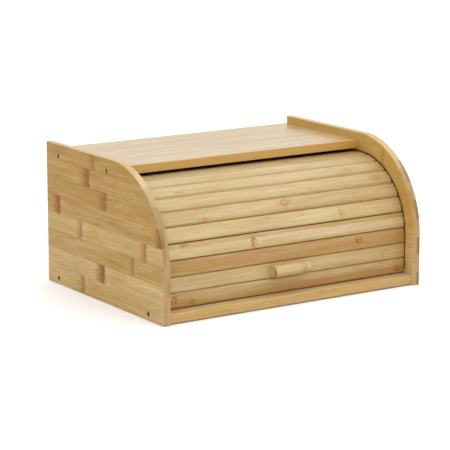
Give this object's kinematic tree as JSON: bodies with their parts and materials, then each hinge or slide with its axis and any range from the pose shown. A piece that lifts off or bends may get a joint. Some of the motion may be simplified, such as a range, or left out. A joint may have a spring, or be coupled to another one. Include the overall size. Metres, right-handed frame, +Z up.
{
  "type": "bread box with roll top",
  "caption": "Bamboo bread box with a roll-top slatted curtain that runs in side grooves back under a top shelf.",
  "frame": {"origin": "On the floor, under the middle of the box.", "axes": "X runs across the width, the front faces -Y, and Z is up."},
  "size_m": [0.38, 0.28, 0.18],
  "materials": {
    "bamboo_side": "satin clear-coated bamboo, flat-pressed strips",
    "bamboo_shelf": "satin clear-coated bamboo, narrow strips",
    "bamboo_base": "satin clear-coated bamboo, narrow strips",
    "bamboo_back": "satin clear-coated bamboo board",
    "bamboo_slat": "satin clear-coated bamboo slat",
    "bamboo_handle": "satin clear-coated bamboo bar",
    "canvas": "unbleached cotton canvas",
    "screw_black": "black oxide steel",
    "screw_steel": "zinc-plated steel"
  },
  "bodies": {
    "case": {"side_panel_left": "bamboo_side", "side_panel_right": "bamboo_side", "top_shelf": "bamboo_shelf", "base_panel": "bamboo_base", "back_panel": "bamboo_back", "panel_screws": "screw_black"},
    "slat_01_moving": {"slat_01": "bamboo_slat", "canvas_01": "canvas"},
    "slat_02_moving": {"slat_02": "bamboo_slat", "canvas_02": "canvas", "handle": "bamboo_handle", "handle_screws": "screw_steel"},
    "slat_03_moving": {"slat_03": "bamboo_slat", "canvas_03": "canvas"},
    "slat_04_moving": {"slat_04": "bamboo_slat", "canvas_04": "canvas"},
    "slat_05_moving": {"slat_05": "bamboo_slat", "canvas_05": "canvas"},
    "slat_06_moving": {"slat_06": "bamboo_slat", "canvas_06": "canvas"},
    "slat_07_moving": {"slat_07": "bamboo_slat", "canvas_07": "canvas"},
    "slat_08_moving": {"slat_08": "bamboo_slat", "canvas_08": "canvas"},
    "slat_09_moving": {"slat_09": "bamboo_slat", "canvas_09": "canvas"},
    "slat_10_moving": {"slat_10": "bamboo_slat", "canvas_10": "canvas"},
    "slat_11_moving": {"slat_11": "bamboo_slat", "canvas_11": "canvas"}
  },
  "joints": [
    {"name": "curtain_travel", "type": "slide", "parent": "case", "child": "slat_11_moving", "axis": [0, 0.9976, -0.0698], "range_m": [0, 0.1149]},
    {"name": "slat_01_turn", "type": "hinge", "parent": "case", "child": "slat_01_moving", "pos_m": [0, 0.0133, 0.04148], "axis": [-1, 0, 0], "range_deg": [0, 50.13]},
    {"name": "slat_02_turn", "type": "hinge", "parent": "case", "child": "slat_02_moving", "pos_m": [0, -0.01182, 0.05118], "axis": [-1, 0, 0], "range_deg": [0, 62.6]},
    {"name": "slat_03_turn", "type": "hinge", "parent": "case", "child": "slat_03_moving", "pos_m": [0, -0.02566, 0.05971], "axis": [-1, 0, 0], "range_deg": [0, 73.38]},
    {"name": "slat_04_turn", "type": "hinge", "parent": "case", "child": "slat_04_moving", "pos_m": [0, -0.027, 0.061], "axis": [-1, 0, 0], "range_deg": [0, 74.82]},
    {"name": "slat_05_turn", "type": "hinge", "parent": "case", "child": "slat_05_moving", "pos_m": [0, -0.02248, 0.05421], "axis": [-1, 0, 0], "range_deg": [0, 68.83]},
    {"name": "slat_06_turn", "type": "hinge", "parent": "case", "child": "slat_06_moving", "pos_m": [0, -0.0142, 0.03384], "axis": [-1, 0, 0], "range_deg": [0, 56.36]},
    {"name": "slat_07_turn", "type": "hinge", "parent": "case", "child": "slat_07_moving", "pos_m": [0, -0.00676, 0.00074], "axis": [-1, 0, 0], "range_deg": [0, 43.89]},
    {"name": "slat_08_turn", "type": "hinge", "parent": "case", "child": "slat_08_moving", "pos_m": [0, -0.00108, -0.05934], "axis": [-1, 0, 0], "range_deg": [0, 31.42]},
    {"name": "slat_09_turn", "type": "hinge", "parent": "case", "child": "slat_09_moving", "pos_m": [0, -0.00057, -0.19833], "axis": [-1, 0, 0], "range_deg": [0, 18.96]},
    {"name": "slat_10_turn", "type": "hinge", "parent": "case", "child": "slat_10_moving", "pos_m": [0, -0.03474, -0.86781], "axis": [-1, 0, 0], "range_deg": [0, 6.49]}
  ],
  "couplings": [
    {"joint": "slat_01_turn", "follows": "curtain_travel", "rad_per_m": 7.6128},
    {"joint": "slat_02_turn", "follows": "curtain_travel", "rad_per_m": 9.5068},
    {"joint": "slat_03_turn", "follows": "curtain_travel", "rad_per_m": 11.145},
    {"joint": "slat_04_turn", "follows": "curtain_travel", "rad_per_m": 11.364},
    {"joint": "slat_05_turn", "follows": "curtain_travel", "rad_per_m": 10.453},
    {"joint": "slat_06_turn", "follows": "curtain_travel", "rad_per_m": 8.5597},
    {"joint": "slat_07_turn", "follows": "curtain_travel", "rad_per_m": 6.6657},
    {"joint": "slat_08_turn", "follows": "curtain_travel", "rad_per_m": 4.7718},
    {"joint": "slat_09_turn", "follows": "curtain_travel", "rad_per_m": 2.8779},
    {"joint": "slat_10_turn", "follows": "curtain_travel", "rad_per_m": 0.98392}
  ]
}
